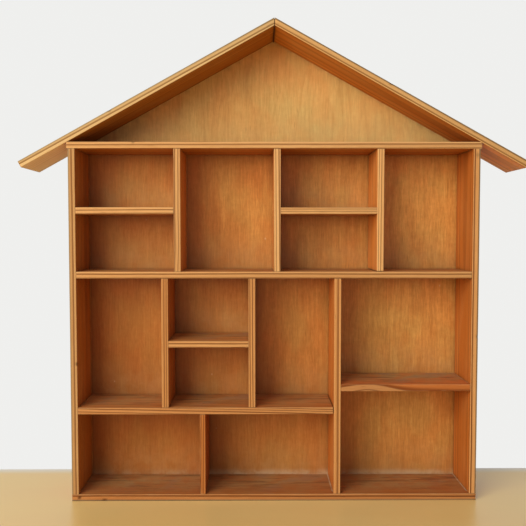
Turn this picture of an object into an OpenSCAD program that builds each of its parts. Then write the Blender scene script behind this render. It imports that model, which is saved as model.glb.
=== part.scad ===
// House shaped bookcase: a shallow open case of pine boards under a two-board pitched roof,
// divided into fourteen compartments and closed behind by one house shaped plywood sheet.
// The boards are butt jointed, glued and nailed. The sheet is pinned on from behind.
// Frame: millimetres, +X to the right, +Y to the back, +Z up. The origin is on the table,
// under the middle of the case's width and depth, and the open front faces -Y.

/* [Boards] */
// Thickness of every pine board but the thin one
board_t = 10; // [8:0.5:12]
// Width that every board is ripped to, which is the depth inside the case
board_w = 82; // [70:1:110]
// Thickness of the thin strip that divides the bottom row
thin_board_t = 8; // [6:0.5:10]
// Thickness of the plywood back
back_t = 4; // [3:0.5:6]
// How far the plywood's edges stay inside the outline of the case and the roof
back_inset = 1; // [0:0.25:2]

/* [Case] */
// Width over the two sides
body_w = 600; // [560:5:680]
// How far the top board runs past each side
top_board_overhang = 2; // [1:0.5:5]
// Clear height of the bottom row
lower_row_h = 120; // [100:1:150]
// Clear height of the middle row
middle_row_h = 191; // [160:1:220]
// Clear height of the top row
upper_row_h = 179; // [150:1:210]

/* [Top row] */
// Clear width of the first bay, counted from the left
upper_bay_1_w = 143; // [120:1:160]
// Clear width of the second bay
upper_bay_2_w = 136; // [120:1:160]
// Clear width of the third bay
upper_bay_3_w = 141; // [120:1:160]
// Clear height under the two short shelves of this row
upper_shelf_rise = 84; // [60:1:110]
// How far the foot of the right divider is cut short of the shelf below it
divider_foot_gap = 0.8; // [0:0.1:1.5]

/* [Middle row] */
// Clear width of the first bay, counted from the left
middle_bay_1_w = 124; // [100:1:140]
// Clear width of the second bay
middle_bay_2_w = 118; // [100:1:140]
// Clear width of the third bay, which ends at the long divider
middle_bay_3_w = 116; // [100:1:140]
// Clear height under the short shelf of this row
middle_shelf_rise = 89; // [60:1:110]
// Clear height under the shelf to the right of the long divider
right_shelf_rise = 154; // [110:1:190]

/* [Bottom row] */
// Clear width of the first bay, counted from the left
lower_bay_1_w = 180; // [140:1:220]
// How far the lower shelf is cut short of the long divider
lower_shelf_gap = 1; // [0:0.1:1.5]

/* [Roof] */
// Pitch of both roof boards above the horizontal, in degrees
roof_pitch = 29; // [24:1:34]
// How far the eaves reach past the sides
eave_overhang = 72.5; // [50:0.5:90]
// Open joint between the two plumb cuts at the ridge
ridge_gap = 1; // [0.2:0.1:2]

/* [Nails] */
// Length of a finishing nail
nail_len = 30; // [25:1:34]
// Shank diameter of a finishing nail
nail_d = 1.6; // [1.2:0.1:2]
// Head diameter of a finishing nail
nail_head_d = 2.4; // [2.2:0.1:3]
// Height of a finishing nail's head
nail_head_h = 1; // [0.6:0.1:1.4]
// How deep the head is punched below the wood's surface
nail_set = 0.8; // [0.2:0.1:1.5]
// Distance from a board's front and back edges of the nails driven up or to the left
nail_edge = 16; // [15:0.5:18]
// How much further in the nails are that are driven down or to the right, so that none meet
nail_stagger = 6; // [4:0.5:7]
// How much further in than those the roof's own nails are
roof_nail_stagger = 5; // [4:0.5:6]

/* [Pins] */
// Length of a panel pin in the plywood back
pin_len = 16; // [12:0.5:16]
// Shank diameter of a panel pin
pin_d = 1.2; // [1:0.1:1.5]
// Head diameter of a panel pin
pin_head_d = 2.6; // [2.2:0.1:3.2]
// Height of a panel pin's head
pin_head_h = 0.7; // [0.5:0.1:1]
// Number of pins up each side
pins_per_side = 5; // [3:1:7]
// Number of pins along each full width board
pins_per_board = 4; // [3:1:6]
// Number of pins along each roof board
pins_per_roof = 4; // [3:1:6]
// Number of pins along the lower shelf and up the long divider
pins_per_short_board = 3; // [2:1:4]
// Distance of the outermost pins from the end of what they hold
pin_end = 45; // [35:1:60]

/* [Hidden] */
$fn = 32;

// Clearance of a pilot hole around its nail or pin
pilot_gap = 0.05;
// A cut starts this far outside the face that it opens
cut_past = 1;
// Taper of a nail's point, as a multiple of its shank diameter
point_ratio = 2;
board_colour = "peru";
edge_board_colour = "burlywood";
ply_colour = "tan";
steel_colour = "silver";

// Depth: the boards, then the plywood behind them
front_y = -(board_w + back_t) / 2;
board_back_y = front_y + board_w;
back_y = board_back_y + back_t;

// Heights of the undersides of the level boards
lower_shelf_z = board_t + lower_row_h;
middle_shelf_z = lower_shelf_z + board_t + middle_row_h;
top_board_z = middle_shelf_z + board_t + upper_row_h;
body_h = top_board_z + board_t;
upper_shelf_z = middle_shelf_z + board_t + upper_shelf_rise;
middle_short_shelf_z = lower_shelf_z + board_t + middle_shelf_rise;
right_shelf_z = board_t + right_shelf_rise;

// Left faces of the upright boards
half_w = body_w / 2;
inner_x = half_w - board_t;
upper_divider_1_x = -inner_x + upper_bay_1_w;
upper_divider_2_x = upper_divider_1_x + board_t + upper_bay_2_w;
upper_divider_3_x = upper_divider_2_x + board_t + upper_bay_3_w;
middle_divider_1_x = -inner_x + middle_bay_1_w;
middle_divider_2_x = middle_divider_1_x + board_t + middle_bay_2_w;
long_divider_x = middle_divider_2_x + board_t + middle_bay_3_w;
lower_divider_x = -inner_x + lower_bay_1_w;

// Roof: its underside meets the top of each side at the outer face
eave_x = half_w + eave_overhang;
roof_plumb_t = board_t / cos(roof_pitch);
function roof_under(x) = body_h + (half_w - abs(x)) * tan(roof_pitch);
function roof_top(x) = roof_under(x) + roof_plumb_t;

// Middles of the boards that nails are driven into
half_t = board_t / 2;
side_mid_x = half_w - half_t;
upper_shelf_mid_z = upper_shelf_z + half_t;
middle_shelf_mid_z = middle_shelf_z + half_t;
middle_short_shelf_mid_z = middle_short_shelf_z + half_t;
right_shelf_mid_z = right_shelf_z + half_t;
lower_shelf_mid_z = lower_shelf_z + half_t;
upper_divider_mids = [
    for (x = [upper_divider_1_x, upper_divider_2_x, upper_divider_3_x]) x + half_t
];
middle_divider_mids = [for (x = [middle_divider_1_x, middle_divider_2_x]) x + half_t];
long_divider_mid = long_divider_x + half_t;
lower_divider_mid = lower_divider_x + thin_board_t / 2;

// Ways that a nail is driven, as turns of the upward direction
UP = 0;
RIGHT = 90;
DOWN = 180;
LEFT = -90;

// A nailed joint: where the nails go in at a board's face, which way, how far they lean from
// square to that face, and how far in from the board's edges their front and back rows are
function joint(x, z, way, lean = 0, inset = 0) = [x, z, way, lean, inset > 0 ? inset
    : nail_edge + (way == DOWN || way == RIGHT ? nail_stagger : 0)];

left_side_joints = [
    for (z = [upper_shelf_mid_z, middle_shelf_mid_z, lower_shelf_mid_z]) joint(-half_w, z, RIGHT)
];
right_side_joints = [for (z = [middle_shelf_mid_z, right_shelf_mid_z]) joint(half_w, z, LEFT)];
top_board_joints = [
    for (x = concat(-side_mid_x, upper_divider_mids, side_mid_x)) joint(x, body_h, DOWN)
];
bottom_board_joints = [
    for (x = [-side_mid_x, lower_divider_mid, long_divider_mid, side_mid_x]) joint(x, 0, UP)
];
middle_shelf_joints = concat(
    [for (x = upper_divider_mids) joint(x, middle_shelf_z, UP)],
    [for (x = concat(middle_divider_mids, long_divider_mid))
        joint(x, middle_shelf_z + board_t, DOWN)]
);
lower_shelf_joints = concat(
    [for (x = middle_divider_mids) joint(x, lower_shelf_z, UP)],
    [joint(lower_divider_mid, lower_shelf_z + board_t, DOWN)]
);
upper_divider_joints = [
    joint(upper_divider_1_x + board_t, upper_shelf_mid_z, LEFT),
    joint(upper_divider_2_x, upper_shelf_mid_z, RIGHT),
    joint(upper_divider_3_x + board_t, upper_shelf_mid_z, LEFT)
];
middle_divider_joints = [
    joint(middle_divider_1_x, middle_short_shelf_mid_z, RIGHT),
    joint(middle_divider_2_x + board_t, middle_short_shelf_mid_z, LEFT)
];
long_divider_joints = [
    joint(long_divider_x + board_t, lower_shelf_mid_z, LEFT),
    joint(long_divider_x, right_shelf_mid_z, RIGHT)
];
// The roof's nails go down plumb through its boards and the top board into the sides
roof_nail_inset = nail_edge + nail_stagger + roof_nail_stagger;
roof_joints = [
    for (s = [-1, 1])
        joint(s * side_mid_x, roof_top(side_mid_x), DOWN, roof_pitch, roof_nail_inset)
];
// The ridge nails go in through the right board and along the middle of the left one
ridge_nail_x = roof_plumb_t / (4 * tan(roof_pitch));
ridge_joints = [
    joint(ridge_nail_x, roof_top(ridge_nail_x), LEFT - roof_pitch, 90 - 2 * roof_pitch, nail_edge)
];

// Pins, as [x, z] on the plywood
function spread(from, to, n) = [for (i = [0:n - 1]) from + (to - from) * i / (n - 1)];
side_pins = [
    for (s = [-1, 1], z = spread(pin_end, body_h - pin_end, pins_per_side)) [s * side_mid_x, z]
];
level_pins = [
    for (z = [half_t, middle_shelf_mid_z, body_h - half_t],
         x = spread(-half_w + 2 * pin_end, half_w - 2 * pin_end, pins_per_board)) [x, z]
];
lower_shelf_pins = [
    for (x = spread(-inner_x + pin_end, long_divider_x - pin_end, pins_per_short_board))
        [x, lower_shelf_mid_z]
];
long_divider_pins = [
    for (z = spread(board_t + pin_end, middle_shelf_z - pin_end, pins_per_short_board))
        [long_divider_mid, z]
];
roof_pins = [
    for (s = [-1, 1], x = spread(pin_end, half_w - pin_end, pins_per_roof))
        [s * x, roof_under(x) + roof_plumb_t / 2]
];
all_pins = concat(side_pins, level_pins, lower_shelf_pins, long_divider_pins, roof_pins);

// ---- Fasteners ----

// One nail along +Z with its head's top at height top, or its hole when gap is over 0: the hole
// follows it at that distance and starts outside the face, at height -past
module nail_shape(len, d, head_d, head_h, top, gap, past) {
    r = d / 2 + gap;
    head_r = head_d / 2 + gap;
    head_z = top + head_h + gap;
    tip_z = top + len + gap;
    rotate_extrude()
        polygon([
            [0, gap > 0 ? -past : top], [head_r, gap > 0 ? -past : top], [head_r, head_z],
            [r, head_z], [r, tip_z - point_ratio * d], [0, tip_z]
        ]);
}

// A front and a back nail at each joint in the list, or their holes. A nail that leans goes in
// deeper, until its whole head is as far below the surface as a square one's.
module nails(joints, gap = 0) {
    for (j = joints, y = [front_y + j[4], board_back_y - j[4]])
        let (deeper = (nail_head_d / 2 + pilot_gap) * tan(j[3]))
            translate([j[0], y, j[1]])
                rotate([0, j[2], 0])
                    nail_shape(nail_len, nail_d, nail_head_d, nail_head_h,
                        nail_set + deeper, gap, cut_past + deeper);
}

// Panel pins driven from behind, heads flush with the plywood, or their holes
module pins(places, gap = 0) {
    for (place = places)
        translate([place[0], back_y, place[1]])
            rotate([90, 0, 0])
                nail_shape(pin_len, pin_d, pin_head_d, pin_head_h, 0, gap, cut_past);
}

// Drills its children for the nails of the joints and for the pins
module drilled(joints, places = []) {
    difference() {
        children();
        nails(joints, gap = pilot_gap);
        pins(places, gap = pilot_gap);
    }
}

// ---- Boards ----

// A board of the full width, given by its outline seen from the front
module board(x, z, width, height) {
    translate([x, front_y, z]) cube([width, board_w, height]);
}

// An outline in X and Z, made solid from one Y to another
module profile(points, from_y, to_y) {
    translate([0, to_y, 0])
        rotate([90, 0, 0])
            linear_extrude(height = to_y - from_y) polygon(points);
}

module side(x, joints) {
    color(board_colour)
        drilled(concat(joints, top_board_joints, roof_joints, bottom_board_joints), side_pins)
            board(x, board_t, board_t, top_board_z - board_t);
}

module left_side() {
    side(-half_w, left_side_joints);
}

module right_side() {
    side(inner_x, right_side_joints);
}

module bottom_board() {
    color(board_colour)
        drilled(bottom_board_joints, level_pins)
            board(-half_w, 0, body_w, board_t);
}

// Its ends are planed to the roof's pitch where the roof boards sit on them
module top_board() {
    end_x = half_w + top_board_overhang;
    color(edge_board_colour)
        drilled(concat(top_board_joints, roof_joints), level_pins)
            profile([
                [-end_x, top_board_z], [end_x, top_board_z], [end_x, roof_under(end_x)],
                [half_w, body_h], [-half_w, body_h], [-end_x, roof_under(end_x)]
            ], front_y, board_back_y);
}

module middle_shelf() {
    color(board_colour)
        drilled(concat(middle_shelf_joints, left_side_joints, right_side_joints), level_pins)
            board(-inner_x, middle_shelf_z, 2 * inner_x, board_t);
}

module lower_shelf() {
    length = long_divider_x - lower_shelf_gap + inner_x;
    color(board_colour)
        drilled(concat(lower_shelf_joints, left_side_joints, long_divider_joints),
                lower_shelf_pins)
            board(-inner_x, lower_shelf_z, length, board_t);
}

module long_divider() {
    color(edge_board_colour)
        drilled(concat(long_divider_joints, middle_shelf_joints, bottom_board_joints),
                long_divider_pins)
            board(long_divider_x, board_t, board_t, middle_shelf_z - board_t);
}

// A divider of the top row, its foot raised by foot_gap
module upper_divider(x, foot_gap = 0) {
    foot_z = middle_shelf_z + board_t + foot_gap;
    color(edge_board_colour)
        drilled(concat(top_board_joints, middle_shelf_joints, upper_divider_joints))
            board(x, foot_z, board_t, top_board_z - foot_z);
}

module upper_divider_left() {
    upper_divider(upper_divider_1_x);
}

module upper_divider_middle() {
    upper_divider(upper_divider_2_x);
}

module upper_divider_right() {
    upper_divider(upper_divider_3_x, divider_foot_gap);
}

module upper_shelf_left() {
    color(edge_board_colour)
        drilled(concat(left_side_joints, upper_divider_joints))
            board(-inner_x, upper_shelf_z, upper_bay_1_w, board_t);
}

module upper_shelf_right() {
    color(edge_board_colour)
        drilled(upper_divider_joints)
            board(upper_divider_2_x + board_t, upper_shelf_z, upper_bay_3_w, board_t);
}

// A divider between the lower shelf and the middle shelf
module middle_divider(x) {
    color(edge_board_colour)
        drilled(concat(middle_shelf_joints, lower_shelf_joints, middle_divider_joints))
            board(x, lower_shelf_z + board_t, board_t, middle_row_h);
}

module middle_divider_left() {
    middle_divider(middle_divider_1_x);
}

module middle_divider_right() {
    middle_divider(middle_divider_2_x);
}

module middle_short_shelf() {
    color(edge_board_colour)
        drilled(middle_divider_joints)
            board(middle_divider_1_x + board_t, middle_short_shelf_z, middle_bay_2_w, board_t);
}

module right_shelf() {
    x = long_divider_x + board_t;
    color(board_colour)
        drilled(concat(right_side_joints, long_divider_joints))
            board(x, right_shelf_z, inner_x - x, board_t);
}

module lower_divider() {
    color(board_colour)
        drilled(concat(bottom_board_joints, lower_shelf_joints))
            board(lower_divider_x, board_t, thin_board_t, lower_row_h);
}

// ---- Roof and back ----

// The right roof board: cut plumb at the ridge and square at the eave
module roof_board_shape() {
    ridge_x = ridge_gap / 2;
    profile([
        [ridge_x, roof_under(ridge_x)],
        [eave_x - board_t * sin(roof_pitch), roof_top(eave_x) - board_t * cos(roof_pitch)],
        [eave_x, roof_top(eave_x)],
        [ridge_x, roof_top(ridge_x)]
    ], front_y, board_back_y);
}

module right_roof_board() {
    color(board_colour)
        drilled(concat(roof_joints, ridge_joints), roof_pins)
            roof_board_shape();
}

module left_roof_board() {
    color(board_colour)
        drilled(concat(roof_joints, ridge_joints), roof_pins)
            mirror([1, 0, 0]) roof_board_shape();
}

// One sheet, covering the back edges of the case and of both roof boards
module back_panel() {
    edge_x = half_w - back_inset;
    drop = back_inset / cos(roof_pitch);
    color(ply_colour)
        difference() {
            profile([
                [-edge_x, back_inset], [edge_x, back_inset], [edge_x, roof_top(edge_x) - drop],
                [0, roof_top(0) - drop], [-edge_x, roof_top(edge_x) - drop]
            ], board_back_y, back_y);
            pins(all_pins, gap = pilot_gap);
        }
}

// ---- Nails and pins, one node for each row that is driven together ----

module left_side_nails() {
    color(steel_colour) nails(left_side_joints);
}

module right_side_nails() {
    color(steel_colour) nails(right_side_joints);
}

module top_board_nails() {
    color(steel_colour) nails(top_board_joints);
}

module bottom_board_nails() {
    color(steel_colour) nails(bottom_board_joints);
}

module middle_shelf_nails() {
    color(steel_colour) nails(middle_shelf_joints);
}

module lower_shelf_nails() {
    color(steel_colour) nails(lower_shelf_joints);
}

module divider_nails() {
    color(steel_colour)
        nails(concat(upper_divider_joints, middle_divider_joints, long_divider_joints));
}

module roof_nails() {
    color(steel_colour) nails(roof_joints);
}

module ridge_nails() {
    color(steel_colour) nails(ridge_joints);
}

module back_panel_pins() {
    color(steel_colour) pins(all_pins);
}

left_side();
right_side();
bottom_board();
top_board();
back_panel();
left_roof_board();
right_roof_board();
middle_shelf();
lower_shelf();
long_divider();
upper_divider_left();
upper_divider_middle();
upper_divider_right();
upper_shelf_left();
upper_shelf_right();
middle_divider_left();
middle_divider_right();
middle_short_shelf();
right_shelf();
lower_divider();
left_side_nails();
right_side_nails();
top_board_nails();
bottom_board_nails();
middle_shelf_nails();
lower_shelf_nails();
divider_nails();
roof_nails();
ridge_nails();
back_panel_pins();
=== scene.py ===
# %% [markdown]
# # A house shaped bookcase, dressed for the camera
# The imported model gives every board, nail and pin at its real size. This lesson makes each board
# again as real timber, with eased edges and small nicks, and gives it a finish worked out from
# how the wood grew. Nothing is moved: every new board fills the space of the one it stands for.

import math
import random

import bmesh
import bpy
from mathutils import Matrix, Vector, noise


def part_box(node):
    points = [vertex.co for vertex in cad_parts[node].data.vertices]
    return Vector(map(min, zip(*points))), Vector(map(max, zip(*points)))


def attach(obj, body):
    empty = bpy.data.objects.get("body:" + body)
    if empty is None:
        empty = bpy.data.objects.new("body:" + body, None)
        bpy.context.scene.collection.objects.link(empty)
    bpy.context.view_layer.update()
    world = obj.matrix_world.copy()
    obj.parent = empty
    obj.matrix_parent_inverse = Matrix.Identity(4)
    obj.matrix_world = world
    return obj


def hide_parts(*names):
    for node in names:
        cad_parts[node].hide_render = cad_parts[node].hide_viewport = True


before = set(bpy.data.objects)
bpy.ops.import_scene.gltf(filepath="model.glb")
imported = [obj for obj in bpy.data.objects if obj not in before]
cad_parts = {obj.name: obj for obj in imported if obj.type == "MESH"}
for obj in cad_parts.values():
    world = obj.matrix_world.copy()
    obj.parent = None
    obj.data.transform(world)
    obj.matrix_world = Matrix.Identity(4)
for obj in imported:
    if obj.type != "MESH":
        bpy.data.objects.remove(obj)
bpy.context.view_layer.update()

# %% [markdown]
# ## Measures
# Blender works in metres, so a millimetre gets a name of its own. The boards' thickness, width
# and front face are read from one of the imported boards. Only the roof's pitch is given, because
# a box around a sloping board doesn't tell it.

# %% Measures
MM = 0.001
TINY = MM / 1000
QUARTER = math.radians(90)
ROOF_PITCH = math.radians(29)
side_low, side_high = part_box("left_side")
BOARD_THICK = side_high.x - side_low.x
BOARD_WIDE = side_high.y - side_low.y
CASE_HALF = abs(side_low.x)
FRONT_Y = side_low.y
BACK_Y = side_high.y
print("boards:", round(BOARD_THICK / MM, 2), "mm thick and", round(BOARD_WIDE / MM, 2), "mm wide")

# %% [markdown]
# ## The camera
# The photograph was taken from about a metre away, a little left of the middle and above half
# height, looking very slightly down. A focal length in pixels becomes a lens in millimetres
# through the sensor's width. The camera comes first so that every later look is judged from it.

# %% Camera
IMAGE_WIDE = 526
FOCAL_PIXELS = 658
SENSOR_MM = 36
NEAREST_SEEN = 10 * MM
CAMERA_PLACE = Vector((-23.7, -1003.9, 397.9)) * MM
CAMERA_PITCH = math.radians(2.63)
CAMERA_YAW = math.radians(0.41)


def put_in_scene(name, data):
    """A new object for a mesh, a lamp or a camera."""
    made = bpy.data.objects.new(name, data)
    bpy.context.scene.collection.objects.link(made)
    return made


camera_data = bpy.data.cameras.new("camera")
camera_data.sensor_width = SENSOR_MM
camera_data.lens = FOCAL_PIXELS / IMAGE_WIDE * SENSOR_MM
camera_data.clip_start = NEAREST_SEEN
camera = put_in_scene("camera", camera_data)
camera.location = CAMERA_PLACE
camera.rotation_euler = (QUARTER - CAMERA_PITCH, 0, -CAMERA_YAW)
bpy.context.scene.camera = camera
print("lens:", round(camera_data.lens, 1), "mm")

# %% [markdown]
# ## Small helpers for shader nodes
# A node tree is easier to read when one line adds a node, sets it and joins it. Each helper
# returns a socket or a node, so that the lines below can be written like sums. A socket knows
# the tree that it is in, so only a node that nothing leads to has to be told.

# %% Adding and joining nodes
def is_socket(value):
    return isinstance(value, bpy.types.NodeSocket)


def fill_in(sockets, values):
    """Joins or sets sockets by name or number."""
    for key, value in values.items():
        if is_socket(value):
            value.id_data.links.new(value, sockets[key])
        else:
            sockets[key].default_value = value


def add(kind, inputs, **settings):
    """Adds a node beside the sockets that it joins, and sets its properties and inputs."""
    tree = next(value for value in inputs.values() if is_socket(value)).id_data
    new = tree.nodes.new(kind)
    for key, value in settings.items():
        setattr(new, key, value)
    fill_in(new.inputs, inputs)
    return new


print("nodes can be added")

# %% Sums with numbers
def calc(operation, *values, clamp=False):
    """One step of arithmetic on numbers or sockets."""
    return add("ShaderNodeMath", dict(enumerate(values)), operation=operation,
               use_clamp=clamp).outputs[0]


def times(*values, clamp=False):
    """Numbers multiplied in turn. Only the last result is clamped, where that is asked for."""
    result = values[0]
    for value in values[1:-1]:
        result = calc("MULTIPLY", result, value)
    return calc("MULTIPLY", result, values[-1], clamp=clamp)


def ease(value, low, high, to_low=0.0, to_high=1.0):
    """A smooth step from to_low at low to to_high at high."""
    return add("ShaderNodeMapRange",
               {"Value": value, "From Min": low, "From Max": high,
                "To Min": to_low, "To Max": to_high},
               interpolation_type="SMOOTHSTEP").outputs[0]


def between(share, one, other):
    """A number the given share of the way from one to the other."""
    return add("ShaderNodeMix", {0: share, 2: one, 3: other}).outputs[0]


print("numbers can be worked out")

# %% Sums with places
def vector(operation, *values):
    """One step of arithmetic on vectors."""
    return add("ShaderNodeVectorMath", dict(enumerate(values)), operation=operation).outputs[0]


def scaled(where, by):
    """A vector made longer or shorter by a number."""
    return add("ShaderNodeVectorMath", {0: where, "Scale": by}, operation="SCALE").outputs[0]


def length(where):
    """A vector's length."""
    return add("ShaderNodeVectorMath", {0: where}, operation="LENGTH").outputs["Value"]


def axes(where):
    """A vector's x, y and z."""
    return add("ShaderNodeSeparateXYZ", {0: where}).outputs


print("places can be worked out")

# %% Colours
VARNISH_DEPTH = (0.7, 1.05, 1.4)


def blend(mask, under, over, way="MIX"):
    """Lays one colour over another where the mask is 1."""
    mix = add("ShaderNodeMix", {"Factor": mask, "A": under, "B": over},
              data_type="RGBA", blend_type=way)
    return mix.outputs["Result"]


def tint(mask, under, by):
    """Multiplies a colour by another where the mask is 1."""
    return blend(mask, under, by, "MULTIPLY")


def shaded(colour, tone):
    """A colour made redder where the tone is under 1 and paler where it is over 1, as varnish is."""
    parts = [calc("POWER", tone, power) for power in VARNISH_DEPTH]
    shade = add("ShaderNodeCombineColor", dict(enumerate(parts))).outputs[0]
    return tint(1.0, colour, shade)


print("colours can be laid over each other")

# %% Node groups
ORIGIN = (0, 0, 0)
KINDS = {"VALUE": "NodeSocketFloat", "VECTOR": "NodeSocketVector", "RGBA": "NodeSocketColor"}


def new_group(name, **inputs):
    """An empty node group. A number, three numbers or four tell an input's kind."""
    tree = bpy.data.node_groups.new(name, "ShaderNodeTree")
    for key, value in inputs.items():
        kind = {3: "VECTOR", 4: "RGBA"}[len(value)] if isinstance(value, tuple) else "VALUE"
        socket = tree.interface.new_socket(key, in_out="INPUT", socket_type=KINDS[kind])
        socket.default_value = value
    return tree, tree.nodes.new("NodeGroupInput").outputs


def give(tree, **results):
    """Names the group's results and joins them to its output node."""
    for key, socket in results.items():
        tree.interface.new_socket(key, in_out="OUTPUT", socket_type=KINDS[socket.type])
    fill_in(tree.nodes.new("NodeGroupOutput").inputs, results)


def place_group(name, **values):
    """Places a finished group in a tree and returns its outputs."""
    return add("ShaderNodeGroup", values, node_tree=bpy.data.node_groups[name]).outputs


print("groups can be built")

# %% [markdown]
# ## How pine gets its lines
# A tree adds one ring a year: pale, soft earlywood, then a thin band of dark latewood that ends
# sharply. A board is a slice through those rings, so one solid pattern, the distance from the
# heart of the log, draws straight lines on its edges, arches on its faces and arcs on its ends,
# and they all meet at the corners. The group works in the board's own space, where x goes
# through the thickness, y across the width and z along the grain.

# %% Chance
def speckle(where, scale, detail=2.0, roughness=0.5, dimensions="3D"):
    """A noise texture's value, from 0 to 1."""
    return add("ShaderNodeTexNoise",
               {"W" if dimensions == "1D" else "Vector": where, "Scale": scale, "Detail": detail,
                "Roughness": roughness}, noise_dimensions=dimensions).outputs[0]


def yearly_chance(years, seed):
    """A random value from 0 to 1 that stays the same through each year."""
    year = calc("ADD", calc("FLOOR", years), seed)
    return add("ShaderNodeTexWhiteNoise", {"W": year}, noise_dimensions="1D").outputs["Value"]


print("chance ready")

# %% Growth rings
LATE_PEAK = 0.87
YEAR_SPREAD = 0.45
RING_INPUTS = {"heart": ORIGIN, "lean": ORIGIN, "ring_width": 3.3 * MM, "phase": 0.0,
               "waviness": 1.0 * MM, "seed": 0.0}


def build_growth_rings():
    tree, given = new_group("growth rings", vector=ORIGIN, **RING_INPUTS)
    leaning = scaled(given["lean"], axes(given["vector"])[2])
    leaned = vector("SUBTRACT", given["vector"], leaning)
    from_heart = vector("SUBTRACT", leaned, given["heart"])
    slow = vector("MULTIPLY", given["vector"], (14, 14, 5))
    shifted = vector("ADD", slow, given["seed"])
    sway = add("ShaderNodeTexNoise", {"Vector": shifted, "Scale": 1.0, "Detail": 2.0}).outputs[1]
    centred = vector("SUBTRACT", sway, (0.5, 0.5, 0.5))
    swayed = vector("MULTIPLY", scaled(centred, 2.0), given["waviness"])
    place = vector("ADD", from_heart, swayed)
    radius = length(vector("MULTIPLY", place, (1, 1, 0)))

    years = calc("ADD", calc("DIVIDE", radius, given["ring_width"]), given["phase"])
    uneven, at_line = [
        speckle(calc("ADD", given["seed"], year), YEAR_SPREAD, 0.0, dimensions="1D")
        for year in (years, LATE_PEAK)]
    years = calc("ADD", years, calc("SUBTRACT", uneven, at_line))
    season = calc("FRACT", years)
    rising = calc("POWER", ease(season, 0.48, LATE_PEAK - 0.05), 1.3)
    falling = ease(season, LATE_PEAK + 0.07, 1.0, 1.0, 0.0)
    tone = yearly_chance(years, given["seed"])
    strength = calc("ADD", times(tone, 0.35), 0.65)
    late = times(rising, falling, strength)
    give(tree, latewood=late, ring_tone=tone, radius=radius)


build_growth_rings()
print("group: growth rings")

# %% [markdown]
# ## Fibres
# Seen close, wood is a bundle of fibres a fraction of a millimetre thick and several
# millimetres long, with a few resin canals as short dark dashes. Noise that is stretched along
# the grain gives both. The slow streaks are a few millimetres wide, as a stain takes unevenly.

# %% Fibres
def streaky(where, waves, detail=3.0, roughness=0.6):
    """Noise with so many waves to the metre along each axis, so few of them make long streaks."""
    return speckle(vector("MULTIPLY", where, waves), 1.0, detail, roughness)


def to_dot(where, waves):
    """The distance to the nearest of many scattered dots, so many to the metre along each axis."""
    return add("ShaderNodeTexVoronoi",
               {"Vector": vector("MULTIPLY", where, waves), "Scale": 1.0},
               feature="F1").outputs["Distance"]


def build_fibres():
    tree, given = new_group("wood fibres", vector=ORIGIN, seed=0.0)
    where = vector("ADD", given["vector"], given["seed"])
    dash = ease(to_dot(where, (420, 420, 32)), 0.05, 0.22, 1.0, 0.0)
    rare = ease(streaky(where, (230, 230, 30), 0.0, 0.5), 0.55, 0.65)
    give(tree, fine=streaky(where, (1500, 1500, 55)),
         streaks=streaky(where, (160, 160, 6)), canals=times(dash, rare))


build_fibres()
print("group: wood fibres")

# %% [markdown]
# ## Edges and ends
# Hands wear the varnish off the corners first, and end grain drinks more stain than a face. In
# the board's own space both are simple sums: how far a point is from each pair of faces. The
# middle one of the three distances is the distance to the nearest corner line.

# %% Edges and ends
def build_board_edges():
    tree, given = new_group("board edges", vector=ORIGIN, half_size=ORIGIN, wear=1.6 * MM)
    folded = vector("ABSOLUTE", given["vector"])
    far = axes(vector("SUBTRACT", given["half_size"], folded))
    low = calc("MINIMUM", far[0], far[1])
    high = calc("MAXIMUM", far[0], far[1])
    middle = calc("MAXIMUM", low, calc("MINIMUM", high, far[2]))
    patchy = streaky(given["vector"], (260, 260, 45), roughness=0.65)
    reach = times(given["wear"], ease(patchy, 0.3, 0.75, 0.25, 1.3))
    edge = calc("SUBTRACT", 1.0, calc("DIVIDE", middle, reach), clamp=True)
    end = ease(far[2], 0.5 * MM, 1.2 * MM, 1.0, 0.0)
    depth = axes(vector("ADD", given["half_size"], given["vector"]))[1]
    front = ease(depth, 0.3 * MM, 1.0 * MM, 1.0, 0.0)
    give(tree, edge=edge, end=end, front=front, depth=depth)


build_board_edges()
print("group: board edges")

# %% [markdown]
# ## Swells
# Where a branch once grew, the grain flows round the place in a long curve. The group moves the
# pattern's space away from such a place, most of all beside it, so that straight lines become
# the flames and waves that some boards show.

# %% Swells
def build_swell():
    tree, given = new_group("grain swell", vector=ORIGIN, place=ORIGIN, size=10 * MM, push=0.0)
    offset = vector("SUBTRACT", given["vector"], given["place"])
    distance = length(vector("MULTIPLY", offset, (1, 1, 0.45)))
    sizes = calc("DIVIDE", distance, given["size"])
    fade = calc("EXPONENT", times(sizes, sizes, -0.35))
    way = vector("NORMALIZE", vector("MULTIPLY", offset, (1, 1, 0)))
    pushed = scaled(way, times(fade, given["push"]))
    give(tree, vector=vector("SUBTRACT", given["vector"], pushed))


build_swell()
print("group: grain swell")

# %% [markdown]
# ## Bare pine
# The finish of every board is the same recipe with other amounts, so it becomes one group, which
# the next four cells build up. First comes the wood itself. Rings and fibres set the pale and
# the dark colour, and past a given radius the paler sapwood begins. Lines are faint under the
# old varnish of the faces, and clear on the front edges and where the eave light is painted.

# %% Bare pine
SAPWOOD = (0.88, 0.58, 0.26, 1)
RESIN = (0.16, 0.055, 0.015, 1)


def attribute(tree, name):
    """A value that is kept in the mesh."""
    kept = tree.nodes.new("ShaderNodeAttribute")
    kept.attribute_name = name
    return kept.outputs["Fac"]


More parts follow.
